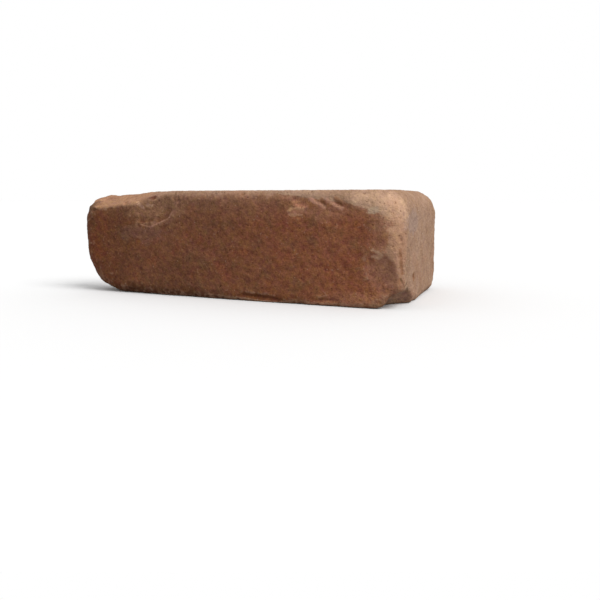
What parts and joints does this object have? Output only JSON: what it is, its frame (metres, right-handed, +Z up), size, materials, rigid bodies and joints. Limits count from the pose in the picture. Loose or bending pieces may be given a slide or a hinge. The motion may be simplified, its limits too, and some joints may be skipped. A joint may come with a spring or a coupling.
{
  "type": "corner brick slip",
  "caption": "L-shaped fired clay corner slip with worn, rounded fair faces and flat sawn backs, bonded round the outside corner of a wall.",
  "frame": {"origin": "on the lower bed, in the middle of the footprint of the whole brick that the slip is sawn from", "axes": "+X along the stretcher face towards the quoin, +Y from the stretcher face through the brick along the header face, +Z up from the lower bed to the upper bed"},
  "size_m": [0.2151, 0.1025, 0.065],
  "materials": {
    "fired_clay": "matt red-brown fired clay, paler and dusty on the worn arrises, plain orange-red on the sawn backs"
  },
  "bodies": {
    "root": {"corner_slip": "fired_clay"}
  },
  "joints": []
}
